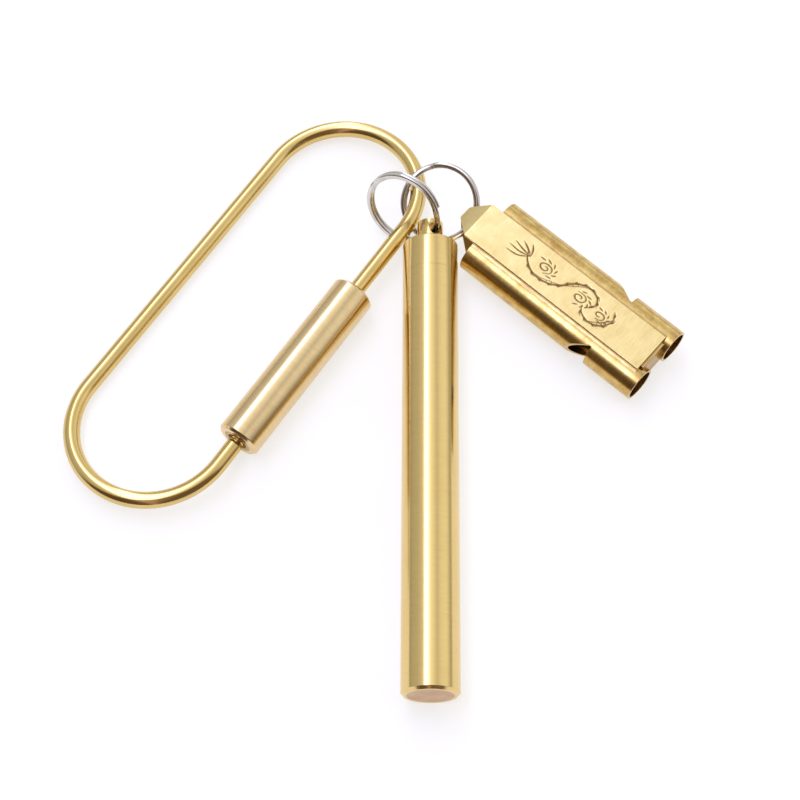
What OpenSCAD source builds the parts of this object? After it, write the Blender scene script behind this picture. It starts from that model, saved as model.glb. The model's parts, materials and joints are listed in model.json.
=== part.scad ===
// Twin-barrel dog training whistle and a screw-cap capsule, each on a split ring,
// carried together on a brass wire loop that a sliding screw sleeve locks.
// Origin: centre of the capsule's base face. +Y runs along the capsule to its cap,
// +Z is up, and the surface that the set lies on is capsule_od / 2 below the origin.

/* [Capsule] */
// Outer diameter of the capsule and its cap
capsule_od = 10; // [8:0.5:14]
// Length from the base to the cap's flat top
capsule_length = 84; // [50:1:110]
// Wall of the tube
capsule_wall = 1; // [0.8:0.1:1.4]
// Visible height of the cap
cap_height = 6.2; // [4:0.1:10]
// Length of the threaded neck inside the tube
neck_length = 7; // [5:0.5:10]
// Thickness of the plug that closes the base
base_plug_length = 3; // [2:0.5:5]
// Chamfer around the base
base_chamfer = 0.5; // [0.2:0.1:0.9]
// Diameter of the post on the cap
post_d = 4.7; // [4.2:0.1:6]
// Height of the post above the cap
post_height = 4.6; // [4.4:0.1:6]
// Cross hole in the post, for the split ring
post_hole_d = 2.6; // [2.5:0.1:2.8]
// Height of the cross hole's lower edge above the cap
post_hole_up = 1.2; // [0.4:0.1:1.2]
// Lean of the cross hole away from vertical, in degrees
post_hole_lean = 30; // [25:1:35]

/* [Split rings] */
// Outer diameter of each split ring
ring_od = 14.9; // [14:0.1:20]
// Radial width of the ring's wire
ring_wire_w = 1.1; // [0.8:0.05:1.2]
// Axial thickness of one coil
ring_coil_t = 0.72; // [0.5:0.02:0.76]
// Free angle between the two ends of the coil, in degrees
ring_end_gap = 56; // [40:2:90]

/* [Carry loop] */
// Diameter of the loop's wire
wire_d = 3; // [2.4:0.1:3.2]
// Radius of the loop's two round ends, to the middle of the wire
loop_r = 14.5; // [12:0.5:20]
// Bare wire between the sleeve and the round end that holds the rings
bare_at_rings = 16; // [12:0.5:24]
// Bare wire between the sleeve and the far round end
bare_at_far_end = 5.5; // [3:0.5:12]
// Outer diameter of the lock sleeve
sleeve_od = 8; // [7:0.5:10]
// Length of the lock sleeve
sleeve_length = 35.5; // [28:0.5:45]
// Diameter of the cavity inside the sleeve
sleeve_cavity_d = 5.2; // [4.6:0.1:5.4]
// Length of the threaded bush in the sleeve's lower end
bush_length = 6.6; // [5:0.2:9]
// Diameter of the thread on the wire's lower end
stud_d = 2.5; // [2:0.1:2.6]
// Length of that threaded stud
stud_length = 9; // [7.5:0.5:11]
// Travel of the sleeve, from locked to open
sleeve_travel = 9.5; // [9:0.25:10]

/* [Whistle] */
// Outer diameter of each barrel
barrel_od = 6.4; // [5.4:0.1:7.6]
// Wall of each barrel
barrel_wall = 0.45; // [0.3:0.05:0.8]
// Length of each barrel
barrel_length = 39.5; // [30:0.5:55]
// Distance between the barrels' centres
barrel_spacing = 9.4; // [8.6:0.1:12]
// Distance from the mouth to the sounding window
window_start = 10.4; // [8:0.2:14]
// Length of the window, up to the end of its ramp
window_length = 4.6; // [3.5:0.1:7]
// Depth of the window
window_depth = 2.3; // [1.2:0.1:2.6]
// Height of the air slot beside the windway block
windway_height = 0.9; // [0.5:0.1:1.2]
// Recess of the windway block behind the mouth
block_recess = 3.2; // [1:0.2:5]
// Thickness of the folded strap
strap_t = 0.6; // [0.4:0.05:0.8]
// Width of the strap over the barrels
strap_w = 7.9; // [6.6:0.1:9]
// Distance from the mouth to the strap's ends
strap_inset = 1.45; // [0.5:0.1:4]
// Reach of the strap's lug beyond the plate
lug_reach = 3.6; // [3.4:0.1:6]
// Width of the lug where it turns over
lug_tip_w = 1.6; // [1.2:0.1:3]

/* [Hidden] */
$fn = 64;
eps = 0.01;

// Clearances
running = 0.05;          // radial gap of a turning or sliding fit
face_gap = 0.1;          // end gap between pieces that turn against each other
rest_gap = 0.02;         // height of every resting piece over the surface it lies on

// Capsule, worked out
capsule_r = capsule_od / 2;
capsule_bore_r = capsule_r - capsule_wall;
tube_length = capsule_length - cap_height;
cap_edge_round = 0.4;
seal_d = 1;                                     // thickness of the rubber seal ring
seal_seat_r = capsule_bore_r + 0.3;             // counterbore in the tube's mouth
seal_seat_depth = 1.3;
seal_r = seal_seat_r - seal_d / 2 - 0.08;       // to the middle of the seal's section
seal_groove_r = seal_r - seal_d / 2 - 0.03;
neck_r = capsule_bore_r - running;
post_hole_y = capsule_length + post_hole_up + post_hole_d / 2;
post_hole = [0, post_hole_y, 0];

// Split rings, worked out
ring_r = (ring_od - ring_wire_w) / 2;           // to the middle of the coil
coil_gap = 0.03;
coil_step = ring_coil_t + coil_gap;             // from one coil to the next
ring_half_t = coil_step / 2 + ring_coil_t / 2;
ring_reach = norm([ring_wire_w / 2, ring_half_t]) - 0.08;   // its bevels taken off
ring_bevel = 0.17;
ring_bow = pow(post_d, 2) / (8 * ring_r);        // the ring's curve over the length of the hole
ring_step_angle = 7.5;
jog_half_angle = ring_end_gap / 2 - 3;

// Loop, worked out. Its wire lies on the surface on one side, the sleeve on the other
surface_z = -capsule_r;
wire_r = wire_d / 2;
sleeve_r = sleeve_od / 2;
loop_straight = sleeve_length + bare_at_rings + bare_at_far_end;
half_straight = loop_straight / 2;
loop_yaw = 55.7;
loop_roll = -asin((sleeve_r - wire_r) / (2 * loop_r));
loop_turn = [loop_roll, 0, loop_yaw];
sleeve_start = -half_straight + bare_at_far_end;
sleeve_end = sleeve_start + sleeve_length;
stud_shoulder_gap = 0.5;                        // wire shoulder stands this far off the sleeve
stud_start = sleeve_start - stud_shoulder_gap;
stud_end = stud_start + stud_length;
bush_end = sleeve_start + bush_length;
head_t = 1.2;                                   // swaged head on the wire's upper end
head_start = bush_end + sleeve_travel + 0.4;
head_end = head_start + head_t;
collar_t = 2.5;
collar_start = head_end + face_gap;
cavity_end = collar_start + collar_t + face_gap;
guide_hole_r = wire_r + running;
collar_r = sleeve_cavity_d / 2 - running;
head_r = (guide_hole_r + collar_r) / 2;
sleeve_chamfer = 0.5;
bush_mouth_d = stud_d + 1.3;                    // countersunk mouth around the stud
bush_mouth_depth = 0.8;

// How the linked pieces lie. Each ring's turn is [0, tilt, azimuth] of its axis
capsule_ring_turn = [0, 67.5, 240];
capsule_ring_at_post = 67.3;                    // place on the ring, in degrees, of the post
whistle_ring_turn = [0, 31.4, 243.2];
whistle_ring_at_lug = 78.8;                     // place on the ring, in degrees, of the lug
link_clearance = ring_reach + wire_r + 0.06;
wire_past_ring = 1.38;                          // wire's line beyond the capsule ring's centre
rings_bearing = 154.1;                          // from the capsule ring to the loop's end centre
rings_apart = 4.29;                             // along the wire, from one ring to the other

function turned_x(v, a) = [v[0], v[1] * cos(a) - v[2] * sin(a), v[1] * sin(a) + v[2] * cos(a)];
function turned_y(v, a) = [v[0] * cos(a) + v[2] * sin(a), v[1], -v[0] * sin(a) + v[2] * cos(a)];
function turned_z(v, a) = [v[0] * cos(a) - v[1] * sin(a), v[0] * sin(a) + v[1] * cos(a), v[2]];
function turned(v, r) = turned_z(turned_y(turned_x(v, r[0]), r[1]), r[2]);
function on_circle(r, a) = [r * cos(a), r * sin(a), 0];
function flat(v, z) = [v[0], v[1], z];

capsule_ring_at = post_hole
    - turned(on_circle(ring_r - ring_bow / 2, capsule_ring_at_post), capsule_ring_turn);
loop_end_at = flat(capsule_ring_at + on_circle(loop_r - wire_past_ring, rings_bearing), 0);
loop_at = flat(loop_end_at - on_circle(half_straight, loop_yaw),
               surface_z + (sleeve_r + wire_r) / 2 + rest_gap);
whistle_ring_bearing = rings_bearing - 180 + rings_apart / loop_r * 180 / PI;
whistle_ring_past_wire = ring_r - 1.12 * link_clearance;
whistle_ring_z = surface_z + rest_gap
    + (ring_r + ring_wire_w / 2) * sin(whistle_ring_turn[1])
    + ring_half_t * cos(whistle_ring_turn[1]);
whistle_ring_at = flat(loop_end_at + on_circle(loop_r + whistle_ring_past_wire, whistle_ring_bearing),
                       whistle_ring_z);

// Whistle, worked out. In its own frame +X runs from the mouth to the lug, +Z is its front
barrel_r = barrel_od / 2;
barrel_bore_r = barrel_r - barrel_wall;
barrel_y = barrel_spacing / 2;
window_floor = 0.5;                             // flat part before the ramp
plug_length = 2;
spacer_inset = 0.9;                             // spacer's end behind the mouth
strap_outer_z = barrel_r + strap_t;
lug_start = barrel_length + 2.2;
lug_end = lug_start + lug_reach;
lug_slope = 22;
lug_tip_z = strap_outer_z - lug_reach * tan(lug_slope);
fold_round = 0.9;                               // outside radius of the strap's folds
tip_round = 1.1;
seam_reach = 0.8;                               // solder beside the strap
seam_under = 1.05;                              // solder under the strap's edge
whistle_turn = [-5, 0, 138.45];
lug_slack = 0.5;                                // free play of the ring in the lug
lug_side_play = 0.35;                           // the ring's place off the lug's middle
lug_pin = [lug_end - strap_t - ring_wire_w / 2 - lug_slack, lug_side_play, -1];
whistle_rest_z = surface_z + rest_gap + strap_outer_z * cos(whistle_turn[0])
    - strap_w / 2 * sin(whistle_turn[0]);
whistle_at = flat(whistle_ring_at + turned(on_circle(ring_r, whistle_ring_at_lug), whistle_ring_turn)
                  - turned(lug_pin, whistle_turn), whistle_rest_z);

module at_loop() translate(loop_at) rotate(loop_turn) children();
module at_whistle() translate(whistle_at) rotate(whistle_turn) children();
module along_y() rotate([-90, 0, 0]) children();
module along_x() rotate([0, 90, 0]) children();

// Round bar or ring along +X, from one x to another
module bar_x(from, to, r, inner = 0) {
    translate([from, 0, 0]) along_x() difference() {
        cylinder(h = to - from, r = r);
        if (inner > 0) translate([0, 0, -eps]) cylinder(h = to - from + 2 * eps, r = inner);
    }
}

// ---- Capsule ----

module capsule_tube() color("#c9a96a")
    along_y() rotate_extrude() polygon([
        [capsule_bore_r, 0], [capsule_r - base_chamfer, 0], [capsule_r, base_chamfer],
        [capsule_r, tube_length], [seal_seat_r, tube_length],
        [seal_seat_r, tube_length - seal_seat_depth],
        [capsule_bore_r, tube_length - seal_seat_depth]
    ]);

module capsule_base_plug() color("#c8a184")
    along_y() cylinder(h = base_plug_length, r = capsule_bore_r);

module capsule_cap() color("#cdb073") difference() {
    union() {
        along_y() rotate_extrude() union() {
            polygon([
                [0, tube_length - neck_length], [neck_r - 0.4, tube_length - neck_length],
                [neck_r, tube_length - neck_length + 0.4], [neck_r, tube_length - seal_seat_depth],
                [seal_groove_r, tube_length - seal_seat_depth], [seal_groove_r, tube_length + face_gap / 2],
                [capsule_r, tube_length + face_gap / 2], [capsule_r, capsule_length - cap_edge_round],
                [capsule_r - cap_edge_round, capsule_length - cap_edge_round],
                [capsule_r - cap_edge_round, capsule_length], [0, capsule_length]
            ]);
            translate([capsule_r - cap_edge_round, capsule_length - cap_edge_round])
                circle(r = cap_edge_round);
        }
        translate([0, capsule_length - 1, 0]) along_y() cylinder(h = post_height + 1, r = post_d / 2);
    }
    translate(post_hole) rotate([0, post_hole_lean, 0])
        cylinder(h = 2 * post_d, d = post_hole_d, center = true);
}

module cap_seal_ring() color("#2b2b2b")
    translate([0, tube_length - seal_d / 2 - face_gap / 2, 0]) along_y()
        rotate_extrude() translate([seal_r, 0]) circle(d = seal_d, $fn = 24);

// ---- Split rings ----

// Height of the coil's middle at turn angle a: two flat coils and one smooth step between
function coil_share(a) = min(1, max(0, (a - 360 + jog_half_angle) / (2 * jog_half_angle)));
function coil_z(a) = coil_step * (pow(coil_share(a), 2) * (3 - 2 * coil_share(a)) - 0.5);

// Section of the ring's wire: an upright oblong with bevelled corners
ring_section = let (w = ring_wire_w / 2, t = ring_coil_t / 2, b = ring_bevel) [
    [w, -t + b], [w, t - b], [w - b, t], [-w + b, t],
    [-w, t - b], [-w, -t + b], [-w + b, -t], [w - b, -t]
];

module split_ring() {
    sides = len(ring_section);
    steps = ceil((720 - ring_end_gap) / ring_step_angle);
    step = (720 - ring_end_gap) / steps;
    points = [for (i = [0 : steps]) let (a = ring_end_gap / 2 + i * step) for (p = ring_section)
        [(ring_r + p[0]) * cos(a), (ring_r + p[0]) * sin(a), coil_z(a) + p[1]]];
    sides_low = [for (i = [0 : steps - 1]) for (j = [0 : sides - 1])
        [i * sides + j, i * sides + (j + 1) % sides, (i + 1) * sides + j]];
    sides_high = [for (i = [0 : steps - 1]) for (j = [0 : sides - 1])
        [i * sides + (j + 1) % sides, (i + 1) * sides + (j + 1) % sides, (i + 1) * sides + j]];
    first_end = [[for (j = [sides - 1 : -1 : 0]) j]];
    last_end = [[for (j = [0 : sides - 1]) steps * sides + j]];
    polyhedron(points, concat(sides_low, sides_high, first_end, last_end), convexity = 6);
}

module capsule_split_ring() color("#b9b9b9")
    translate(capsule_ring_at) rotate(capsule_ring_turn) rotate([0, 0, 92]) split_ring();

module whistle_split_ring() color("#c4c4c4")
    translate(whistle_ring_at) rotate(whistle_ring_turn) rotate([0, 0, 245]) split_ring();

// ---- Carry loop and its lock sleeve ----

module loop_end(side)
    translate([side * half_straight, 0, 0]) rotate([0, 0, -90 * side])
        rotate_extrude(angle = 180) translate([loop_r, 0]) circle(r = wire_r, $fn = 32);

module carry_loop_wire() color("#c39a3f") at_loop() {
    loop_end(1);
    loop_end(-1);
    translate([0, loop_r, 0]) bar_x(-half_straight - eps, half_straight + eps, wire_r);
    translate([0, -loop_r, 0]) {
        bar_x(head_start + eps, half_straight + eps, wire_r);
        bar_x(head_start, head_end, head_r);
        bar_x(-half_straight - eps, stud_start, wire_r);
        bar_x(stud_start - eps, stud_end - 0.4, stud_d / 2);
        translate([stud_end - 0.4, 0, 0]) along_x()
            cylinder(h = 0.4, r1 = stud_d / 2, r2 = stud_d / 2 - 0.35);
    }
}

module thrust_collar() color("#b88d4a") at_loop() translate([0, -loop_r, 0])
    bar_x(collar_start, collar_start + collar_t, collar_r, guide_hole_r);

module lock_sleeve() color("#cda57f") at_loop() translate([0, -loop_r, 0])
    along_x() rotate_extrude() polygon([
        [sleeve_cavity_d / 2, sleeve_start], [sleeve_r - sleeve_chamfer, sleeve_start],
        [sleeve_r, sleeve_start + sleeve_chamfer], [sleeve_r, sleeve_end - sleeve_chamfer],
        [sleeve_r - sleeve_chamfer, sleeve_end], [guide_hole_r + 0.3, sleeve_end],
        [guide_hole_r, sleeve_end - 0.3], [guide_hole_r, cavity_end], [sleeve_cavity_d / 2, cavity_end]
    ]);

module sleeve_thread_bush() color("#b5894e") at_loop() translate([0, -loop_r, 0]) difference() {
    bar_x(sleeve_start, bush_end, sleeve_cavity_d / 2, stud_d / 2 + running);
    bar_x(sleeve_start - eps, sleeve_start + bush_mouth_depth, bush_mouth_d / 2);
}

// ---- Whistle. side is 1 for the left barrel and -1 for the right ----

module barrel(side) translate([0, side * barrel_y, 0]) difference() {
    bar_x(0, barrel_length, barrel_r, barrel_bore_r);
    // The sounding window: a square wall, a short floor and a ramp back out
    mirror([0, side < 0 ? 1 : 0, 0]) translate([0, 0, -barrel_r - 1])
        linear_extrude(height = barrel_od + 2) polygon([
            [window_start, barrel_r + 1], [window_start, barrel_r - window_depth],
            [window_start + window_floor, barrel_r - window_depth],
            [window_start + window_length, barrel_r], [window_start + window_length + 1, barrel_r + 1]
        ]);
}

module left_barrel() color("#c6a05a") at_whistle() barrel(1);
module right_barrel() color("#c6a05a") at_whistle() barrel(-1);

// Plug in the mouth end: flat on its outer side, so that air passes to the window
module windway_block(side) translate([0, side * barrel_y, 0]) difference() {
    bar_x(block_recess, window_start, barrel_bore_r);
    translate([0, side > 0 ? barrel_bore_r - windway_height : -barrel_r, -barrel_r])
        cube([window_start + 1, barrel_wall + windway_height, barrel_od]);
}

module left_windway_block() color("#a97f3e") at_whistle() windway_block(1);
module right_windway_block() color("#a97f3e") at_whistle() windway_block(-1);

module end_plug(side) translate([0, side * barrel_y, 0])
    bar_x(barrel_length - plug_length, barrel_length, barrel_bore_r);

module left_end_plug() color("#b08a48") at_whistle() end_plug(1);
module right_end_plug() color("#b08a48") at_whistle() end_plug(-1);

spacer_half_w = strap_w / 2 - seam_under;

module barrel_spacer() color("#b8944f") at_whistle() difference() {
    translate([spacer_inset, -spacer_half_w, -barrel_r])
        cube([barrel_length - spacer_inset, 2 * spacer_half_w, barrel_od]);
    for (side = [-1, 1]) translate([0, side * barrel_y, 0]) bar_x(-1, barrel_length + 1, barrel_r);
}

// Solder along both edges of the strap: a fillet outside and a wedge under the edge
module solder_seams(side) difference() {
    for (face = [-1, 1]) mirror([0, side < 0 ? 1 : 0, 0]) mirror([0, 0, face < 0 ? 1 : 0])
        translate([strap_inset, 0, 0]) rotate([90, 0, 90])
            linear_extrude(height = barrel_length - strap_inset) polygon([
                [spacer_half_w, barrel_r], [strap_w / 2, barrel_r], [strap_w / 2, barrel_r + 0.6 * strap_t],
                [strap_w / 2 + seam_reach, barrel_r], [strap_w / 2 + seam_reach, barrel_r - 1],
                [spacer_half_w, barrel_r - 1]
            ]);
    translate([0, side * barrel_y, 0]) bar_x(-1, barrel_length + 1, barrel_r);
}

module left_solder_seams() color("#9a8146") at_whistle() solder_seams(1);
module right_solder_seams() color("#9a8146") at_whistle() solder_seams(-1);

// Corner c of an outline, rounded to radius r between its neighbours a and b
function unit(v) = v / norm(v);
function corner_arc(a, c, b, r, steps = 8) =
    let (
        in_dir = unit(a - c), out_dir = unit(b - c),
        half = acos(min(1, max(-1, in_dir * out_dir))) / 2,
        middle = c + unit(in_dir + out_dir) * r / sin(half),
        from = c + in_dir * r / tan(half) - middle,
        to = c + out_dir * r / tan(half) - middle,
        sweep = 180 - 2 * half,
        turn = sign(from[0] * to[1] - from[1] * to[0])
    )
    [for (i = [0 : steps]) let (a = turn * sweep * i / steps)
        middle + [from[0] * cos(a) - from[1] * sin(a), from[0] * sin(a) + from[1] * cos(a)]];

// The strap's fold line, moved inward by d from its outer face
function left_of(v) = [-v[1], v[0]];
function moved_corner(a, c, b, d) =
    let (n1 = left_of(unit(c - a)), n2 = left_of(unit(b - c))) c + d * (n1 + n2) / (1 + n1 * n2);
lug_side = [
    [strap_inset, -strap_outer_z], [lug_start, -strap_outer_z], [lug_end, -lug_tip_z],
    [lug_end, lug_tip_z], [lug_start, strap_outer_z], [strap_inset, strap_outer_z]
];
fold_radii = [0, fold_round, tip_round, tip_round, fold_round, 0];
function strap_face(d) = [for (i = [1 : 4])
    each corner_arc(
        i == 1 ? lug_side[0] + [0, d] : moved_corner(lug_side[i - 2], lug_side[i - 1], lug_side[i], d),
        moved_corner(lug_side[i - 1], lug_side[i], lug_side[i + 1], d),
        i == 4 ? lug_side[5] - [0, d] : moved_corner(lug_side[i], lug_side[i + 1], lug_side[i + 2], d),
        fold_radii[i] - (i == 1 || i == 4 ? 0.5 * d : d)
    )];
function reversed(list) = [for (i = [len(list) - 1 : -1 : 0]) list[i]];

module strap_plan() {
    w = strap_w / 2;
    tip = lug_tip_w / 2;
    polygon(concat(
        [[strap_inset, -w]],
        [[lug_start, -w]],
        corner_arc([lug_start, -w], [lug_end + 0.4, -tip], [lug_end + 0.4, tip], tip * 0.7),
        corner_arc([lug_end + 0.4, -tip], [lug_end + 0.4, tip], [lug_start, w], tip * 0.7),
        [[lug_start, w]],
        [[strap_inset, w]]
    ));
}

module folded_strap() color("#d2b878") at_whistle() intersection() {
    rotate([90, 0, 0]) translate([0, 0, -strap_w]) linear_extrude(height = 2 * strap_w) polygon(concat(
        [lug_side[0]], strap_face(0), [lug_side[5]],
        [lug_side[5] - [0, strap_t]], reversed(strap_face(strap_t)), [lug_side[0] + [0, strap_t]]
    ));
    translate([0, 0, -2 * strap_outer_z]) linear_extrude(height = 4 * strap_outer_z) strap_plan();
}

capsule_tube();
capsule_base_plug();
capsule_cap();
cap_seal_ring();
capsule_split_ring();
whistle_split_ring();
carry_loop_wire();
thrust_collar();
lock_sleeve();
sleeve_thread_bush();
left_barrel();
right_barrel();
left_windway_block();
right_windway_block();
left_end_plug();
right_end_plug();
barrel_spacer();
folded_strap();
left_solder_seams();
right_solder_seams();
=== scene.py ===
import json
import math

import bmesh
import bpy
import numpy as np
from mathutils import Matrix, Vector


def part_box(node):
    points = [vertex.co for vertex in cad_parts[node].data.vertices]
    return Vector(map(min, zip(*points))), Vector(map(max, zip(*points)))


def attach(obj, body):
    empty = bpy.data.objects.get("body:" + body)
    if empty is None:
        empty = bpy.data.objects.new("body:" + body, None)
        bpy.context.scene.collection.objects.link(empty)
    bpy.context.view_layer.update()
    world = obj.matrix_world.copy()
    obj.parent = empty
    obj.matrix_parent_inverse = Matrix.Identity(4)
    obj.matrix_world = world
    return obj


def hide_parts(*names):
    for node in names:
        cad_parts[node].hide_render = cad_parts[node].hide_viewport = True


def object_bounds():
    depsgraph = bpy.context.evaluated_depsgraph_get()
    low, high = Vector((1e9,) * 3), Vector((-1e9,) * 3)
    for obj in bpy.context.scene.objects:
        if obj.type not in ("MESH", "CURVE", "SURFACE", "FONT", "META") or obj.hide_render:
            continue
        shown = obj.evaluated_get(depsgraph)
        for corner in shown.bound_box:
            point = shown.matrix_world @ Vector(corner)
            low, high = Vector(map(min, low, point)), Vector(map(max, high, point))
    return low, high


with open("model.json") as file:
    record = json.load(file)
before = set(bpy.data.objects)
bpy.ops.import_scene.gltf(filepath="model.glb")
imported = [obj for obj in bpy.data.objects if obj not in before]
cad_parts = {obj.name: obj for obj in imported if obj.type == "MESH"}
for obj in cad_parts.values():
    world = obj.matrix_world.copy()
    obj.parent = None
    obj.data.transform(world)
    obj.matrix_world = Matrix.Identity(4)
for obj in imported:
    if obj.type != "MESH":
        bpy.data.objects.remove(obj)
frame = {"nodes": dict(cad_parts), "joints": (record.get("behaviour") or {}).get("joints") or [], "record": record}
cad_box = [list(corner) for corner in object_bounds()]

# ---- Capsule tube ----
# A long tube of bar brass, turned to a satin finish, with a chamfer round its closed end.
# Its mouth has a seat for the seal ring and a screw thread for the cap's neck.

mm = 0.001
tube_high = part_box("capsule_tube")[1]
tube_r = tube_high.x / mm
tube_length = tube_high.y / mm
tube_wall = 1.0
tube_bore_r = tube_r - tube_wall
base_chamfer = 0.5
seal_seat_step = 0.3
seal_seat_r = tube_bore_r + seal_seat_step
seal_seat_depth = 1.3
seal_seat = tube_length - seal_seat_depth
neck_length = 7.0
neck_start = tube_length - neck_length
neck_pitch = 0.75
neck_thread_depth = 0.3
thread_flat = 0.15
thread_rows_per_turn = 8
turned_edge = 0.02


def thread_cut(height, angle, thread):
    """How deep a right-hand thread's groove is at one point. It fades out at both ends. Root
    and crest are each flat over thread_flat of the pitch, with straight sides between them."""
    turns = height / thread["pitch"] - angle / (2 * math.pi)
    from_root = abs((turns % 1.0) - 0.5) * 2
    groove = min(1.0, max(0.0, (1 - thread_flat - from_root) / (1 - 2 * thread_flat)))
    run_out = min((height - thread["start"]), (thread["end"] - height)) / thread["pitch"]
    return thread["depth"] * groove * min(1.0, max(0.0, run_out))


def turned(outline, threads=(), sides=96):
    """A turned shape: (height, radius) points in mm, in order round the section, about Z.
    A thread sits on the stretch of outline at its radius. Its depth is negative on a bar."""
    rows = []
    on_axis = outline[0][1] == 0 and outline[-1][1] == 0
    stretches = list(zip(outline, outline[1:] + outline[:1]))
    for (h0, r0), (h1, r1) in stretches:
        rows.append((h0, r0, None))
        for thread in threads:
            if r0 == r1 == thread["radius"]:
                thread_turns = (thread["end"] - thread["start"]) / thread["pitch"]
                count = round(thread_turns * thread_rows_per_turn)
                heights = np.linspace(thread["start"], thread["end"], count + 1)
                if h1 < h0:
                    heights = heights[::-1]
                rows += [(float(h), r0, thread) for h in heights]
    shape = bmesh.new()
    rings = []
    for height, radius, thread in rows:
        if radius == 0:
            rings.append([shape.verts.new((0, 0, height * mm))])
            continue
        ring = []
        for k in range(sides):
            angle = 2 * math.pi * k / sides
            r = (radius + (thread_cut(height, angle, thread) if thread else 0)) * mm
            ring.append(shape.verts.new((r * math.cos(angle), r * math.sin(angle), height * mm)))
        rings.append(ring)
    pairs = list(zip(rings, rings[1:])) if on_axis else list(zip(rings, rings[1:] + rings[:1]))
    for low, high in pairs:
        for k in range(sides):
            n = (k + 1) % sides
            if len(low) == 1:
                shape.faces.new((low[0], high[n], high[k]))
            elif len(high) == 1:
                shape.faces.new((low[k], low[n], high[0]))
            else:
                shape.faces.new((low[k], low[n], high[n], high[k]))
    bmesh.ops.recalc_face_normals(shape, faces=shape.faces)
    return shape


def standing(point, up, across):
    """The place of a shape whose Z runs along up and whose X leans to across."""
    z = Vector(up).normalized()
    y = z.cross(Vector(across)).normalized()
    place = Matrix((y.cross(z), y, z)).transposed().to_4x4()
    place.translation = Vector(point)
    return place


def made(name, shape, place):
    """The finished shape as a piece. Its points are put where they belong on the whole object,
    and "own_place" keeps where each one is on the piece itself, for the grain of the metal."""
    mesh = bpy.data.meshes.new(name)
    shape.to_mesh(mesh)
    shape.free()
    piece = bpy.data.objects.new(name, mesh)
    bpy.context.scene.collection.objects.link(piece)
    keep_own_place(piece, Matrix.Identity(4))
    mesh.transform(place)
    return piece


def keep_own_place(piece, to_own):
    """Writes "own_place" afresh. to_own takes a point of the mesh to the piece's own axes."""
    mesh = piece.data
    if "own_place" in mesh.attributes:
        mesh.attributes.remove(mesh.attributes["own_place"])
    own_place = mesh.attributes.new("own_place", "FLOAT_VECTOR", "POINT")
    for vertex in mesh.vertices:
        own_place.data[vertex.index].vector = to_own @ vertex.co


def fitted(piece, finish, body, nodes, edge=0.08, sharp=32):
    """Breaks the piece's sharp edges to a small round, gives it its finish, and hangs it on
    its body. Edges sharper than sharp degrees are broken, or only kept crisp if edge is 0."""
    mesh = piece.data
    mesh.polygons.foreach_set("use_smooth", [True] * len(mesh.polygons))
    if edge:
        broken = piece.modifiers.new("broken edges", "BEVEL")
        broken.width = edge * mm
        broken.segments = 3
        broken.limit_method = "ANGLE"
        broken.angle_limit = math.radians(sharp)
        broken.harden_normals = True
    else:
        mesh.set_sharp_from_angle(angle=math.radians(sharp))
    mesh.materials.clear()
    mesh.materials.append(finish)
    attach(piece, body)
    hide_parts(*nodes)
    return piece


def set_sockets(node, values):
    """Gives each of these sockets its number, or joins another node's output to it."""
    for socket, value in values.items():
        if isinstance(value, bpy.types.NodeSocket):
            node.id_data.links.new(value, node.inputs[socket])
        else:
            node.inputs[socket].default_value = value


def node_with(nodes, kind, values, **choices):
    """A new shader node, with these choices made on it and then its sockets set."""
    node = nodes.new(kind)
    for choice, picked in choices.items():
        setattr(node, choice, picked)
    set_sockets(node, values)
    return node


def metal(
    name, colour, stain, stained, rough, lines, cut, streaked, blotch=0.004, speckle=3.0
):
    """A worked metal. lines says how many tool lines pass in each mm along the piece's own
    axes, cut how deep they read and streaked how dark. stained is how much of the stain's
    colour lies on it, in blotches of the size blotch, in metres, with speckle for fine detail."""
    fewest_lines, line_depth = 0.02, 0.02 * mm
    finish = bpy.data.materials.new(name)
    finish.use_nodes = True
    nodes = finish.node_tree.nodes
    where = nodes.new("ShaderNodeAttribute")
    where.attribute_name = "own_place"
    place = where.outputs["Vector"]
    lines_per_m = [max(n, fewest_lines) / mm for n in lines]
    grain_map = node_with(nodes, "ShaderNodeMapping", {"Vector": place, "Scale": lines_per_m})
    grain_place = grain_map.outputs["Vector"]
    grain = node_with(
        nodes, "ShaderNodeTexNoise",
        {"Vector": grain_place, "Scale": 1.0, "Detail": 3.0, "Roughness": 0.65},
    ).outputs["Fac"]
    patch = node_with(
        nodes, "ShaderNodeTexNoise",
        {"Vector": place, "Scale": 1 / blotch, "Detail": speckle, "Roughness": 0.5},
    ).outputs["Fac"]
    spread = node_with(
        nodes, "ShaderNodeMapRange",
        {"Value": patch, "From Min": 0.35, "From Max": 0.8, "To Max": stained},
    )
    tint = node_with(
        nodes, "ShaderNodeMix",
        {"Factor": spread.outputs["Result"], "A": (*colour, 1), "B": (*stain, 1)},
        data_type="RGBA",
    )
    shade = node_with(
        nodes, "ShaderNodeMapRange",
        {"Value": grain, "From Min": 0.3, "From Max": 0.7, "To Min": 1.0 - streaked},
    )
    lined = node_with(
        nodes, "ShaderNodeMix",
        {"Factor": 1.0, "A": tint.outputs["Result"], "B": shade.outputs["Result"]},
        data_type="RGBA", blend_type="MULTIPLY",
    )
    dull = node_with(
        nodes, "ShaderNodeMapRange",
        {
            "Value": patch, "From Min": 0.3, "From Max": 0.75,
            "To Min": rough * 0.85, "To Max": rough * 1.3,
        },
    )
    bump = node_with(
        nodes, "ShaderNodeBump", {"Height": grain, "Strength": cut, "Distance": line_depth}
    )
    set_sockets(
        nodes["Principled BSDF"],
        {
            "Metallic": 1.0, "Base Color": lined.outputs["Result"],
            "Roughness": dull.outputs["Result"], "Normal": bump.outputs["Normal"],
        },
    )
    return finish


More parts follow.
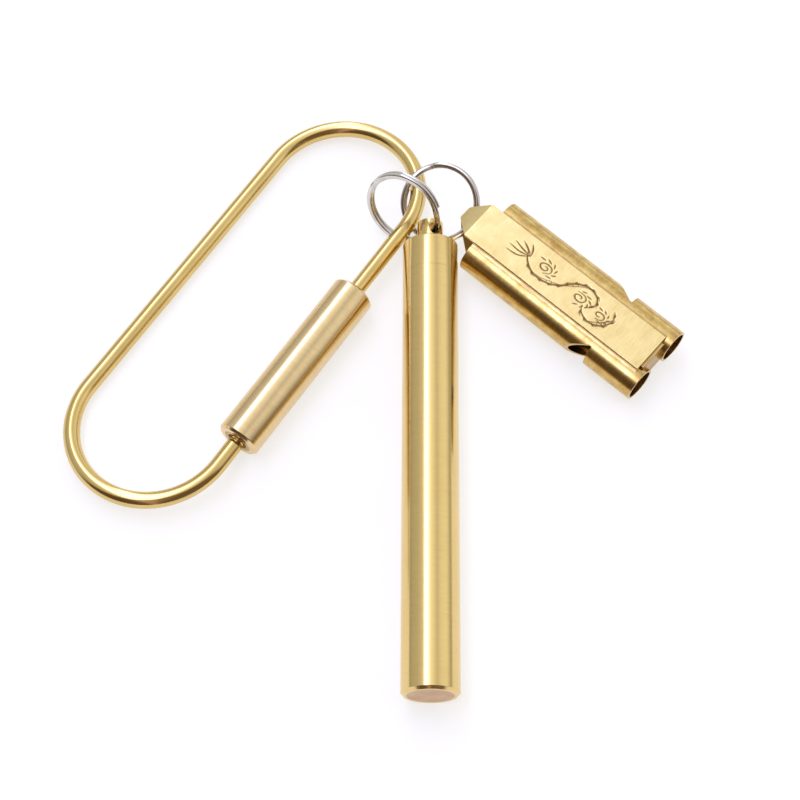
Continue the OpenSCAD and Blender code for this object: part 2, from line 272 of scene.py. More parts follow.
satin_brass = metal(
    "satin_turned_brass", (0.80, 0.595, 0.245), (0.66, 0.45, 0.15), stained=0.22, rough=0.165,
    lines=(0.4, 0.4, 5), cut=0.12, streaked=0.07, blotch=0.007,
)

capsule_line = standing((0, 0, 0), (0, 1, 0), (1, 0, 0))
mouth_thread = dict(
    start=neck_start, end=seal_seat,
    radius=tube_bore_r, pitch=neck_pitch, depth=neck_thread_depth,
)
capsule_tube = made(
    "capsule_tube_turned",
    turned(
        [
            (0, tube_bore_r), (0, tube_r - base_chamfer), (base_chamfer, tube_r),
            (tube_length, tube_r), (tube_length, seal_seat_r),
            (seal_seat, seal_seat_r), (seal_seat, tube_bore_r),
        ],
        threads=[mouth_thread],
    ),
    capsule_line,
)
fitted(capsule_tube, satin_brass, "capsule", ["capsule_tube"], edge=turned_edge)

# ---- Capsule base ----
# A disc of the same brass, soldered flush in the tube's lower end and faced off with it.
# The facing cut leaves faint rings, and the bare face has gone pinkish.

base_thickness = (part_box("capsule_base_plug")[1].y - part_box("capsule_base_plug")[0].y) / mm
faced_brass = metal(
    "faced_brass", (0.66, 0.44, 0.27), (0.54, 0.34, 0.19), stained=0.4, rough=0.42,
    lines=(5, 5, 0.05), cut=0.15, streaked=0.08,
)
base_dish = 0.04
base_dish_r = tube_bore_r * 0.55
base_rim = 0.25
base_disc = made(
    "capsule_base_disc",
    turned(
        [
            (base_dish, 0), (base_dish, base_dish_r), (0, tube_bore_r - base_rim),
            (0, tube_bore_r), (base_thickness, tube_bore_r), (base_thickness, 0),
        ]
    ),
    capsule_line,
)
fitted(base_disc, faced_brass, "capsule", ["capsule_base_plug"], edge=turned_edge)

# ---- Cap ----
# One turned piece: a short cap as wide as the tube, a threaded neck below it that screws
# into the tube, and a post on top, cross-drilled at a lean for the split ring.

cap_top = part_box("capsule_cap")[1].y / mm
post_r = 2.35
post_height = 4.6
cap_shoulder = cap_top - post_height
cap_seam_gap = 0.01
cap_seam = tube_length + cap_seam_gap
cap_round = 0.4
neck_play = 0.05
neck_r = tube_bore_r - neck_play
neck_chamfer = 0.4
seal_groove_depth = 0.78
seal_groove_r = neck_r - seal_groove_depth
post_hole_r = 1.3
post_hole_up = 1.2
post_hole_lean = math.radians(30)
post_round = 0.25
drill_reach = 6


def quarter(height, radius, size, steps=5):
    """The points of a rounded rim, from the side of the bar up on to its end face."""
    return [
        (
            height - size + size * math.sin(math.pi / 2 * i / steps),
            radius - size + size * math.cos(math.pi / 2 * i / steps),
        )
        for i in range(steps + 1)
    ]


def cut_away(piece, cutter):
    """Takes the cutter's shape out of the piece, and leaves nothing of the cutter."""
    cut = piece.modifiers.new("cut", "BOOLEAN")
    cut.operation = "DIFFERENCE"
    cut.solver = "EXACT"
    cut.object = cutter
    bpy.context.view_layer.update()
    now = bpy.context.evaluated_depsgraph_get()
    mesh = bpy.data.meshes.new_from_object(piece.evaluated_get(now), depsgraph=now)
    piece.modifiers.clear()
    piece.data = mesh
    bpy.data.objects.remove(cutter)


neck_thread = dict(
    start=neck_start + neck_chamfer, end=seal_seat,
    radius=neck_r, pitch=neck_pitch, depth=-neck_thread_depth,
)
cap = made(
    "capsule_cap_turned",
    turned(
        [
            (neck_start, 0), (neck_start, neck_r - neck_chamfer),
            (neck_start + neck_chamfer, neck_r), (seal_seat, neck_r),
            (seal_seat, seal_groove_r), (cap_seam, seal_groove_r),
            (cap_seam, tube_r), *quarter(cap_shoulder, tube_r, cap_round),
            (cap_shoulder, post_r), *quarter(cap_top, post_r, post_round), (cap_top, 0),
        ],
        threads=[neck_thread],
    ),
    capsule_line,
)
post_hole = Vector((0, cap_shoulder + post_hole_up + post_hole_r, 0)) * mm
hole_line = (math.sin(post_hole_lean), 0, math.cos(post_hole_lean))
drill = made(
    "post_drill",
    turned(
        [
            (-drill_reach, 0), (-drill_reach, post_hole_r),
            (drill_reach, post_hole_r), (drill_reach, 0),
        ],
        sides=64,
    ),
    standing(post_hole, hole_line, (1, 0, 0)),
)
cut_away(cap, drill)
keep_own_place(cap, capsule_line.inverted())
fitted(cap, satin_brass, "cap", ["capsule_cap"], edge=turned_edge)

# ---- Seal ring ----
# A moulded ring of black rubber with a round section. It is stretched into the groove under
# the cap, and the seat in the tube's mouth squeezes it when the cap is screwed down.

seal_low, seal_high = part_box("cap_seal_ring")
seal_thickness = (seal_high.y - seal_low.y) / mm
seal_middle_r = seal_high.x / mm - seal_thickness / 2
seal_middle = (seal_low.y + seal_high.y) / 2 / mm
seal_section_sides = 24

seal_rubber = bpy.data.materials.new("seal_rubber")
seal_rubber.use_nodes = True
rubber_nodes = seal_rubber.node_tree.nodes
rubber_place = rubber_nodes.new("ShaderNodeTexCoord").outputs["Object"]
pores = node_with(
    rubber_nodes, "ShaderNodeTexNoise", {"Vector": rubber_place, "Scale": 3 / mm, "Detail": 4.0}
).outputs["Fac"]
bloom = node_with(
    rubber_nodes, "ShaderNodeMix",
    {"Factor": pores, "A": (0.012, 0.012, 0.012, 1), "B": (0.045, 0.045, 0.042, 1)},
    data_type="RGBA",
)
rubber_sheen = node_with(
    rubber_nodes, "ShaderNodeMapRange", {"Value": pores, "To Min": 0.45, "To Max": 0.75}
)
rubber_bump = node_with(
    rubber_nodes, "ShaderNodeBump", {"Height": pores, "Strength": 0.3, "Distance": 0.01 * mm}
)
set_sockets(
    rubber_nodes["Principled BSDF"],
    {
        "Specular IOR Level": 0.35, "Base Color": bloom.outputs["Result"],
        "Roughness": rubber_sheen.outputs["Result"], "Normal": rubber_bump.outputs["Normal"],
    },
)

seal_section = [
    (
        seal_middle + seal_thickness / 2 * math.sin(turn),
        seal_middle_r + seal_thickness / 2 * math.cos(turn),
    )
    for turn in np.linspace(0, 2 * math.pi, seal_section_sides, endpoint=False).tolist()
]
seal = made("cap_seal", turned(seal_section), capsule_line)
fitted(seal, seal_rubber, "cap_seal", ["cap_seal_ring"], edge=0)

# ---- Loop wire ----
# Drawn brass wire bent to a long loop with round ends. Both ends meet inside the sleeve:
# one is stepped down to a screw stud, the other is swaged to a head that can't pull out.

joints = {joint["name"]: joint for joint in frame["joints"]}
mounts = {mount["name"]: mount for mount in frame["record"]["mounts"]}
sleeve_line = Vector(joints["sleeve_turn"]["axis"])
sleeve_point = Vector(joints["sleeve_turn"]["pos_m"])
loop_middle = Vector(mounts["carry_loop"]["pos_m"])
loop_r = (loop_middle - sleeve_point).length / mm
wire_r = 1.5
half_straight = 28.5
shoulder_round = 0.15
sleeve_start, sleeve_end = -23.0, 12.5
sleeve_travel = 9.5
bush_length = 6.6
stud_r = 1.25
stud_length = 9.0
stud_shoulder_gap = 0.5
stud_start = sleeve_start - stud_shoulder_gap
stud_end = stud_start + stud_length
stud_point = 0.35
stud_pitch = 0.45
stud_thread_depth = 0.2
head_clearance = 0.4
head_start = sleeve_start + bush_length + sleeve_travel + head_clearance
head_r = 2.05
head_length = 1.2
head_end = head_start + head_length
head_lip, head_lip_drop = 0.25, 0.2
wire_sides = 40


def laid(point, along, across):
    """The place of a piece whose X runs along and whose Y leans to across."""
    x = Vector(along).normalized()
    z = x.cross(Vector(across)).normalized()
    place = Matrix((x, z.cross(x), z)).transposed().to_4x4()
    place.translation = Vector(point)
    return place


def drawn(name, stations, place):
    """A bar swept through stations. Each has its middle, its outward and upward directions,
    and a section of (outward, upward) points, all in mm on the piece's own axes."""
    shape = bmesh.new()
    rings, travelled, own = [], 0.0, []
    last = None
    for middle, outward, upward, section in stations:
        middle, outward, upward = Vector(middle), Vector(outward), Vector(upward)
        if last is not None:
            travelled += (middle - last).length
        last = middle
        ring = []
        for a, b in section:
            ring.append(shape.verts.new((middle + outward * a + upward * b) * mm))
            own.append((travelled * mm, a * mm, b * mm))
        rings.append(ring)
    count = len(rings[0])
    for low, high in zip(rings, rings[1:]):
        for k in range(count):
            n = (k + 1) % count
            shape.faces.new((low[k], low[n], high[n], high[k]))
    shape.faces.new(rings[0])
    shape.faces.new(rings[-1])
    bmesh.ops.recalc_face_normals(shape, faces=shape.faces)
    piece = made(name, shape, place)
    for vertex, point in zip(piece.data.attributes["own_place"].data, own):
        vertex.vector = point
    return piece


def round_section(radius, thread=None, height=0.0):
    """The wire's round section, with the thread's groove in it at this height."""
    points = []
    for k in range(wire_sides):
        angle = 2 * math.pi * k / wire_sides
        r = radius + (thread_cut(height, angle, thread) if thread else 0)
        points.append((r * math.cos(angle), r * math.sin(angle)))
    return points


wire_stations = []


def lay_straight(xs, side, radii, thread=None):
    """Lays the wire through xs along one side of the loop: -1 is the sleeve's side."""
    for x, radius in zip(xs, radii):
        section = round_section(radius, thread, height=x)
        wire_stations.append(((x, side * loop_r, 0), (0, side, 0), (0, 0, 1), section))


def lay_round_end(centre_x, first, last, step=3):
    """Lays the wire round one end of the loop, from one angle to another, in degrees."""
    turns = np.arange(first, last, math.copysign(step, last - first))
    for turn in np.radians(turns):
        outward = (math.cos(turn), math.sin(turn), 0)
        middle = (centre_x + loop_r * outward[0], loop_r * outward[1], 0)
        wire_stations.append((middle, outward, (0, 0, 1), round_section(wire_r)))


stud_thread = dict(
    start=stud_start, end=stud_end - stud_point,
    radius=stud_r, pitch=stud_pitch, depth=-stud_thread_depth,
)
row_gap, past_shoulder = 0.05, 0.5
bend_gap, far_bend_gap = 0.3, 0.5
stud_rows = np.arange(
    stud_end - stud_point - row_gap, stud_start + row_gap, -stud_pitch / thread_rows_per_turn
)
lay_straight([stud_end, stud_end - stud_point], -1, [stud_r - stud_point, stud_r])
lay_straight(stud_rows, -1, [stud_r] * len(stud_rows), stud_thread)
lay_straight(
    [stud_start, stud_start, stud_start - shoulder_round], -1,
    [stud_r, wire_r - shoulder_round, wire_r],
)
lay_straight(
    np.linspace(stud_start - past_shoulder, -half_straight + bend_gap, 4), -1, [wire_r] * 4
)
lay_round_end(-half_straight, -90, -270)
lay_straight(np.linspace(-half_straight, half_straight - far_bend_gap, 30), 1, [wire_r] * 30)
lay_round_end(half_straight, 90, -90)
lay_straight(np.linspace(half_straight, head_end + 2 * row_gap, 12), -1, [wire_r] * 12)
lay_straight(
    [head_end, head_end, head_end - head_lip, head_start + head_lip, head_start], -1,
    [wire_r, head_r - head_lip_drop, head_r, head_r, head_r - head_lip],
)

drawn_brass = metal(
    "drawn_brass_wire", (0.80, 0.59, 0.235), (0.62, 0.40, 0.11), stained=0.35, rough=0.17,
    lines=(0.12, 4, 4), cut=0.3, blotch=0.006, streaked=0.2,
)
loop_place = laid(loop_middle, sleeve_line, loop_middle - sleeve_point)
loop_wire = drawn("carry_loop_bent_wire", wire_stations, loop_place)
fitted(loop_wire, drawn_brass, "carry_loop", ["carry_loop_wire"], edge=0, sharp=50)

# ---- Thrust collar ----
# A short loose collar inside the sleeve. It bears on the wire's swaged head when the
# sleeve is pulled back, and turns with the screw.

sleeve_r = 4.0
sleeve_cavity_r = 2.6
sliding_play = 0.05
guide_hole_r = wire_r + sliding_play
collar_r = sleeve_cavity_r - sliding_play
collar_gap = 0.1
collar_start = head_end + collar_gap
collar_length = 2.5
collar_end = collar_start + collar_length
collar_lip = 0.12

inner_brass = metal(
    "machined_brass", (0.62, 0.42, 0.16), (0.42, 0.26, 0.08), stained=0.5, rough=0.34,
    lines=(0.05, 0.05, 8), cut=0.5, streaked=0.2,
)
sleeve_place = standing(sleeve_point, sleeve_line, (0, 0, 1))

collar = made(
    "sleeve_thrust_collar",
    turned(
        [
            (collar_start, guide_hole_r), (collar_start, collar_r - collar_lip),
            (collar_start + collar_lip, collar_r), (collar_end - collar_lip, collar_r),
            (collar_end, collar_r - collar_lip), (collar_end, guide_hole_r),
        ]
    ),
    sleeve_place,
)
fitted(collar, inner_brass, "thrust_collar", ["thrust_collar"], edge=0.04)

# ---- Lock sleeve ----
# A turned sleeve of paler, redder brass that slides on the wire. Its upper end has a close
# hole for the wire, and its lower end screws over the stud.

sleeve_chamfer = 0.5
cavity_end = collar_end + collar_gap
hole_chamfer = 0.3
pale_brass = metal(
    "pale_turned_brass", (0.80, 0.61, 0.33), (0.68, 0.46, 0.21), stained=0.25, rough=0.17,
    lines=(0.4, 0.4, 4), cut=0.15, streaked=0.1,
)
sleeve = made(
    "lock_sleeve_turned",
    turned(
        [
            (sleeve_start, sleeve_cavity_r), (sleeve_start, sleeve_r - sleeve_chamfer),
            (sleeve_start + sleeve_chamfer, sleeve_r), (sleeve_end - sleeve_chamfer, sleeve_r),
            (sleeve_end, sleeve_r - sleeve_chamfer), (sleeve_end, guide_hole_r + hole_chamfer),
            (sleeve_end - hole_chamfer, guide_hole_r), (cavity_end, guide_hole_r),
            (cavity_end, sleeve_cavity_r),
        ]
    ),
    sleeve_place,
)
fitted(sleeve, pale_brass, "lock_sleeve", ["lock_sleeve"])

# ---- Sleeve bush ----
# A threaded bush of machined brass, pressed in the sleeve's lower end. Its mouth is
# countersunk, so that the stud finds the thread.

bush_end = sleeve_start + bush_length
bush_mouth_step = 0.65
bush_mouth_r = stud_r + bush_mouth_step
bush_mouth_slope = 0.2
bush_mouth_depth = 0.8
bush_bore_r = stud_r + sliding_play
bush_thread = dict(
    start=sleeve_start + bush_mouth_depth, end=bush_end,
    radius=bush_bore_r, pitch=stud_pitch, depth=stud_thread_depth,
)
bush = made(
    "sleeve_threaded_bush",
    turned(
        [
            (sleeve_start, bush_mouth_r), (sleeve_start, sleeve_cavity_r),
            (bush_end, sleeve_cavity_r), (bush_end, bush_bore_r),
            (sleeve_start + bush_mouth_depth, bush_bore_r),
            (sleeve_start + bush_mouth_depth, bush_mouth_r - bush_mouth_slope),
        ],
        threads=[bush_thread],
        sides=64,
    ),
    sleeve_place,
)
fitted(bush, inner_brass, "lock_sleeve", ["sleeve_thread_bush"], edge=0.03)

# ---- Split rings ----
# Flat spring wire wound twice round, one coil flat on the other, with a step where it
# climbs from the first to the second. Bright nickel plate, the ends cropped and eased.

ring_r = 6.9
ring_wire_w = 1.1
ring_coil_t = 0.72
coil_gap = 0.03
ring_coil_step = ring_coil_t + coil_gap
ring_end_gap = 56
ring_end_ease = 0.86
ring_end_round = 0.9
ring_corner = 0.34
climb_short_of_gap = 3
climb_half = ring_end_gap / 2 - climb_short_of_gap
ring_turn_step = 4


def oblong(width, height, corner, steps=4):
    """The wire's section: an upright oblong with round corners."""
    points = []
    for side_a, side_b, start in ((1, 1, 0), (-1, 1, 90), (-1, -1, 180), (1, -1, 270)):
        for i in range(steps + 1):
            turn = math.radians(start + 90 * i / steps)
            points.append(
                (
                    side_a * (width / 2 - corner) + corner * math.cos(turn),
                    side_b * (height / 2 - corner) + corner * math.sin(turn),
                )
            )
    return points


def coil_height(turn):
    """How high the wire's middle is, with its climb half way through the two turns."""
    share = min(1.0, max(0.0, (turn - 360 + climb_half) / (2 * climb_half)))
    return ring_coil_step * (share * share * (3 - 2 * share) - 0.5)


def split_ring(name, centre, axis, towards, ends_at, finish, body, node):
    """A split ring whose two ends lie ends_at degrees round from the piece it holds."""
    first_turn, last_turn = ring_end_gap / 2, 720 - ring_end_gap / 2
    between = np.arange(first_turn + ring_turn_step, last_turn - 0.01, ring_turn_step)
    rows = [(first_turn, ring_end_ease), (first_turn + ring_end_round, 1.0)]
    rows += [(turn, 1.0) for turn in between]
    rows += [(last_turn - ring_end_round, 1.0), (last_turn, ring_end_ease)]
    stations = []
    for turn, size in rows:
        at = math.radians(turn + ends_at)
        outward = (math.cos(at), math.sin(at), 0)
        middle = (ring_r * outward[0], ring_r * outward[1], coil_height(turn))
        section = oblong(ring_wire_w * size, ring_coil_t * size, ring_corner * size)
        stations.append((middle, outward, (0, 0, 1), section))
    ring = drawn(name, stations, standing(centre, axis, Vector(towards) - Vector(centre)))
    return fitted(ring, finish, body, [node], edge=0, sharp=60)


def facing_of(node):
    """The direction that a thin flat node faces."""
    points = np.array([tuple(v.co) for v in frame["nodes"][node].data.vertices])
    faces = np.linalg.svd(points - points.mean(0), full_matrices=False)[2][2]
    return Vector(faces if faces[2] > 0 else -faces)


nickel = metal(
    "bright_nickel_plate", (0.80, 0.775, 0.73), (0.40, 0.34, 0.27), stained=0.45, rough=0.08,
    lines=(0.06, 3, 3), cut=0.3, blotch=0.0025, streaked=0.3,
)
capsule_ring_centre = Vector(joints["cap_round_ring"]["pos_m"])
ends_from_post = 24.7
split_ring(
    "capsule_ring_coil", capsule_ring_centre, facing_of("capsule_split_ring"),
    post_hole, ends_from_post, nickel, "capsule_ring", "capsule_split_ring",
)

# ---- Whistle barrels ----
# Two thin brass tubes side by side. A notch filed in the outer side of each is its sounding
# window. They are polished, but handling and the solder's heat have stained them.

plate_mount = mounts["whistle_front"]
left_plug_box, right_plug_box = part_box("left_end_plug"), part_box("right_end_plug")
left_plug_middle = (left_plug_box[0] + left_plug_box[1]) / 2
right_plug_middle = (right_plug_box[0] + right_plug_box[1]) / 2
whistle_up = Vector(plate_mount["axis"])
whistle_left = left_plug_middle - right_plug_middle
whistle_along = whistle_left.cross(whistle_up)
barrel_apart = whistle_left.length / mm
barrel_r = 3.2
barrel_wall = 0.45
barrel_bore_r = barrel_r - barrel_wall
barrel_length = 39.5
plate_mark = 22.0
plate_height = 3.8
whistle_place = laid(plate_mount["pos_m"], whistle_along, whistle_left)
whistle_place = whistle_place @ Matrix.Translation((-plate_mark * mm, 0, -plate_height * mm))
window_start = 10.4
window_end = 15.0
window_floor = 0.5
window_depth = 2.3
file_reach, file_past_tube = 5, 1

stained_brass = metal(
    "stained_tube_brass", (0.80, 0.58, 0.22), (0.46, 0.25, 0.06), stained=0.85, rough=0.19,
    lines=(1.5, 1.5, 2), cut=0.3, blotch=0.0022, streaked=0.22, speckle=7.0,
)


def prism(outline, low, high):
    """A bar of one section: (x, y) points in mm, from one height to another along Z."""
    shape = bmesh.new()
    floor = [shape.verts.new((x * mm, y * mm, low * mm)) for x, y in outline]
    roof = [shape.verts.new((x * mm, y * mm, high * mm)) for x, y in outline]
    for k in range(len(outline)):
        n = (k + 1) % len(outline)
        shape.faces.new((floor[k], floor[n], roof[n], roof[k]))
    shape.faces.new(floor)
    shape.faces.new(roof)
    bmesh.ops.recalc_face_normals(shape, faces=shape.faces)
    return shape


def barrel_line(side):
    """The line along one barrel from its mouth, with X up. side is 1 on the left, -1 right."""
    across = Matrix.Translation((0, side * barrel_apart / 2 * mm, 0))
    return whistle_place @ across @ standing((0, 0, 0), (1, 0, 0), (0, 0, 1))


for side, hand in ((1, "left"), (-1, "right")):
    barrel = made(
        f"{hand}_barrel_tube",
        turned(
            [
                (0, barrel_bore_r), (0, barrel_r), (barrel_length, barrel_r),
                (barrel_length, barrel_bore_r),
            ]
        ),
        barrel_line(side),
    )
    outside = barrel_apart / 2 + barrel_r
    beyond = outside + file_past_tube
    floor_y = outside - window_depth
    notch = [
        (window_start, side * beyond), (window_start, side * floor_y),
        (window_start + window_floor, side * floor_y),
        (window_end, side * outside), (window_end + file_past_tube, side * beyond),
    ]
    cut_away(barrel, made("window_file", prism(notch, -file_reach, file_reach), whistle_place))
    keep_own_place(barrel, barrel_line(side).inverted())
    fitted(barrel, stained_brass, "whistle", [f"{hand}_barrel"], edge=0.05)

# ---- Windway blocks ----
# A brass plug in the mouth end of each barrel, with a flat filed on its outer side. Breath
# goes through the slot beside the flat and over the window's edge.

block_recess = 3.2
windway_height = 0.9
flat_at = barrel_bore_r - windway_height
flat_half_angle = math.acos(flat_at / barrel_bore_r)
along_whistle = Matrix(((0, 0, 1, 0), (1, 0, 0, 0), (0, 1, 0, 0), (0, 0, 0, 1)))
for side, hand in ((1, "left"), (-1, "right")):
    arc = np.linspace(flat_half_angle, 2 * math.pi - flat_half_angle, 49)
    section = [(side * barrel_bore_r * math.cos(a), barrel_bore_r * math.sin(a)) for a in arc]
    across = Matrix.Translation((0, side * barrel_apart / 2 * mm, 0))
    block = made(
        f"{hand}_block", prism(section, block_recess, window_start),
        whistle_place @ across @ along_whistle,
    )
    fitted(block, inner_brass, "whistle", [f"{hand}_windway_block"], edge=0.06)

# ---- End plugs ----
# Discs soldered in the far ends of the barrels, which make them closed pipes. Each is flush
# with its tube's end, with its rim eased and the dimple of a centre drill in the middle.

plug_start = barrel_length - 2.0
plug_ease = 0.12
plug_centre_r, plug_centre_depth = 0.5, 0.2
for side, hand in ((1, "left"), (-1, "right")):
    plug = made(
        f"{hand}_plug_disc",
        turned(
            [
                (plug_start, 0), (plug_start, barrel_bore_r),
                (barrel_length - plug_ease, barrel_bore_r),
                (barrel_length, barrel_bore_r - plug_ease),
                (barrel_length, plug_centre_r), (barrel_length - plug_centre_depth, 0),
            ]
        ),
        barrel_line(side),
    )
    fitted(plug, inner_brass, "whistle", [f"{hand}_end_plug"], edge=0.04)

# ---- Barrel spacer ----
# A bar that fits between the two barrels, hollowed along both sides to their curve. The
# strap is soldered to its flat faces.

strap_w = 7.9
strap_t = 0.6
strap_inset = 1.45
spacer_start = 0.9
spacer_under = 1.05
spacer_half_w = strap_w / 2 - spacer_under
spacer_reach = math.acos((barrel_apart / 2 - spacer_half_w) / barrel_r)
spacer_section = []
for side in (1, -1):
    hollow = [
        (barrel_apart / 2 - barrel_r * math.cos(a), barrel_r * math.sin(a))
        for a in np.linspace(spacer_reach, -spacer_reach, 25)
    ]
    half = [(spacer_half_w, barrel_r), *hollow, (spacer_half_w, -barrel_r)]
    spacer_section += [(side * y, side * z) for y, z in half]
spacer = made(
    "spacer_bar", prism(spacer_section, spacer_start, barrel_length),
    whistle_place @ along_whistle,
)
fitted(spacer, inner_brass, "whistle", ["barrel_spacer"], edge=0.04)

# ---- Folded strap ----
# One strip of sheet brass: up the back, round a narrowed lug that holds the split ring,
# and down the front. The front is brushed across and has a scroll engraved along it.

strap_past_barrels = 2.2
lug_start = barrel_length + strap_past_barrels
lug_length = 3.6
lug_end = lug_start + lug_length
lug_slope = math.radians(22)
lug_tip_z = plate_height - lug_length * math.tan(lug_slope)
fold_round, tip_round = 0.9, 1.1
fold_steps = 8
lug_tip_half = 0.8
lug_taper_past = 0.4
tip_corner, tip_corner_in = 0.5, 0.3


def rounded_run(points, radii):
    """A line through points with its corners rounded, as (x, z, direction x, direction z)."""
    run = []
    for i, (point, radius) in enumerate(zip(points, radii)):
        here = Vector(point)
        if radius == 0:
            ahead = (Vector(points[1]) - here) if i == 0 else (here - Vector(points[-2]))
            run.append((*here, *ahead.normalized()))
            continue
        into = (here - Vector(points[i - 1])).normalized()
        out = (Vector(points[i + 1]) - here).normalized()
        bend = math.acos(max(-1, min(1, into.dot(out))))
        turn = math.copysign(1, into.x * out.y - into.y * out.x)
        start = here - into * radius * math.tan(bend / 2)
        middle = start + Vector((-into.y, into.x)) * turn * radius
        for k in range(fold_steps + 1):
            spin = Matrix.Rotation(turn * bend * k / fold_steps, 2)
            run.append((*(middle + spin @ (start - middle)), *(spin @ into)))
    return run


def strap_half_width(x):
    """Half the strap's width at x: straight over the barrels, narrowed and rounded at the lug."""
    if x <= lug_start:
        return strap_w / 2
    share = (x - lug_start) / (lug_length + lug_taper_past)
    half = strap_w / 2 + (lug_tip_half - strap_w / 2) * share
    to_tip = (lug_end - x) / tip_corner
    if to_tip < 1:
        half -= tip_corner_in * (1 - math.sqrt(max(0.0, 1 - (1 - max(0.0, to_tip)) ** 2)))
    return half


stroke_steps = 8


def flowing(points, widest, tail=0.25):
    """A smooth graver's stroke through points, as (x, y, half width). It is widest in its
    middle, and tail is the share of that width left at its ends."""
    points = [Vector(point) for point in points]
    ends = [points[0] * 2 - points[1], *points, points[-1] * 2 - points[-2]]
    stroke, pieces = [], len(points) - 1
    for i in range(pieces):
        before, start, end, after = ends[i : i + 4]
        for k in range(stroke_steps + (i == pieces - 1)):
            t = k / stroke_steps
            spot = (
                start * 2 + (end - before) * t
                + (before * 2 - start * 5 + end * 4 - after) * t**2
                + (start * 3 - before - end * 3 + after) * t**3
            ) / 2
            swell = math.sin(math.pi * min(1, max(0, (i + t) / pieces)))
            stroke.append((spot.x, spot.y, widest * (tail + (1 - tail) * swell)))
    return stroke


stem_width, tail_width, feather_width, hair_width = 0.2, 0.18, 0.16, 0.14
band_width, rib_root_width, rib_tip_width = 0.08, 0.09, 0.07
leaf_width, leaf_tip_width = 0.15, 0.03
stem = flowing(
    [
        (30.6, -0.9), (29.6, 0.5), (27.4, 1.7), (24.4, 1.6), (22.0, 0.4),
        (20.2, -1.5), (17.8, -2.6), (15.4, -2.0), (14.7, -0.4), (15.9, 0.9),
    ],
    stem_width, tail=0.6,
)
stem_crossing = 33
tail_wave = flowing(
    [(16.6, 0.7), (15.8, 2.0), (13.6, 2.6), (11.4, 1.7), (10.4, -0.2), (11.2, -1.6)],
    tail_width,
)
plume_root = Vector((29.7, -0.5))
plume_tips_and_bows = [
    ((34.2, 1.0), 0.5), ((34.4, -0.2), 0.3), ((33.8, -1.3), 0.1),
    ((32.6, -2.2), -0.1), ((30.9, -2.7), -0.2),
]


def along_stroke(stroke, k):
    """A point of a stroke, and the direction the stroke has there."""
    here, ahead = Vector(stroke[k][:2]), Vector(stroke[k + 1][:2])
    return here, (ahead - here).normalized()


def plume():
    """Feathers that fan out from one root, each a little bowed."""
    feathers = []
    for tip, bow in plume_tips_and_bows:
        reach = Vector(tip) - plume_root
        bowed = plume_root + reach / 2 + Vector((-reach.y, reach.x)).normalized() * bow
        feathers.append(flowing([plume_root, bowed, tip], feather_width))
    return feathers


def curl(x, y, turns, start, size, hand):
    """A closing curl, longer along the plate than across it, with lashes round its outside."""
    spiral_steps, closing = 9, 0.085
    lashes, first_lash, between_lashes, lash_lean = 6, 20, 34, 0.45

    def spot(turn, along, across):
        return (x + along * size * math.cos(turn), y + across * size * math.sin(turn))

    spiral = []
    for k in range(spiral_steps + 1):
        turn = math.radians(start + hand * 360 * turns * k / spiral_steps)
        reach = 1 - closing * k
        spiral.append(spot(turn, 1.25 * reach, 0.8 * reach))
    strokes = [flowing(spiral, hair_width, tail=0.5)]
    for k in range(lashes):
        turn = math.radians(start + hand * (first_lash + between_lashes * k))
        root, tip = spot(turn, 1.5, 0.95), spot(turn + lash_lean * hand, 2.0, 1.3)
        strokes.append(flowing([root, tip], hair_width, tail=0.3))
    return strokes


def ribbed_band(stroke, first, last, crossing=None):
    """A thin line beside a stroke, swelling away from it, with ribs between the two. At the
    crossing it passes through the stroke to the other side."""
    widest, rib_every, narrowest_ribbed, crossing_run = 0.62, 3, 0.4, 7
    band, ribs = [], []
    for k in range(first, last):
        here, ahead = along_stroke(stroke, k)
        swell, inward = math.sin(math.pi * (k - first) / (last - first)), 1
        if crossing is not None:
            swell *= min(1.0, abs(k - crossing) / crossing_run)
            inward = -1 if k > crossing else 1
        edge = here + Vector((-ahead.y, ahead.x)) * widest * swell * inward
        band.append((edge.x, edge.y, band_width))
        if k % rib_every == 0 and swell > narrowest_ribbed:
            ribs.append([(*here, rib_root_width), (*edge, rib_tip_width)])
    return [band, *ribs]


def leaves(stroke, first, last, gap):
    """Small leaves in pairs, a long and a short one, on the outer side of a stroke."""
    leaf_steps, leaf_curve = 7, 0.12
    spreads_and_lengths = ((0.5, 1.15), (0.95, 0.75))
    strokes = []
    for k in range(first, last, gap):
        here, ahead = along_stroke(stroke, k)
        outside = 1 if here.y > 0 else -1
        hand = outside if ahead.x > 0 else -outside
        for spread, length in spreads_and_lengths:
            spot, leaf = here.copy(), []
            facing = math.atan2(ahead.y, ahead.x) + hand * spread
            for j in range(leaf_steps + 1):
                leaf.append((*spot, leaf_width * (1 - j / leaf_steps) + leaf_tip_width))
                spot += Vector((math.cos(facing), math.sin(facing))) * length / leaf_steps
                facing -= hand * leaf_curve
            strokes.append(leaf)
    return strokes


# The engraving is a leafy scroll of two waves: a stem and its tail, a plume at the lug's
# end, curls in the hollows, a ribbed band along each wave, and small leaves outside them.
scroll = [
    stem, tail_wave, *plume(),
    *curl(26.3, -0.5, turns=1.5, start=100, size=1.35, hand=1),
    *curl(17.9, 0.0, turns=1.4, start=-60, size=1.3, hand=-1),
    *curl(13.0, 0.4, turns=1.2, start=80, size=1.1, hand=1),
    *ribbed_band(stem, 14, 52, stem_crossing), *ribbed_band(tail_wave, 14, 34),
    *leaves(stem, 10, 66, gap=5), *leaves(tail_wave, 6, 38, gap=6),
]


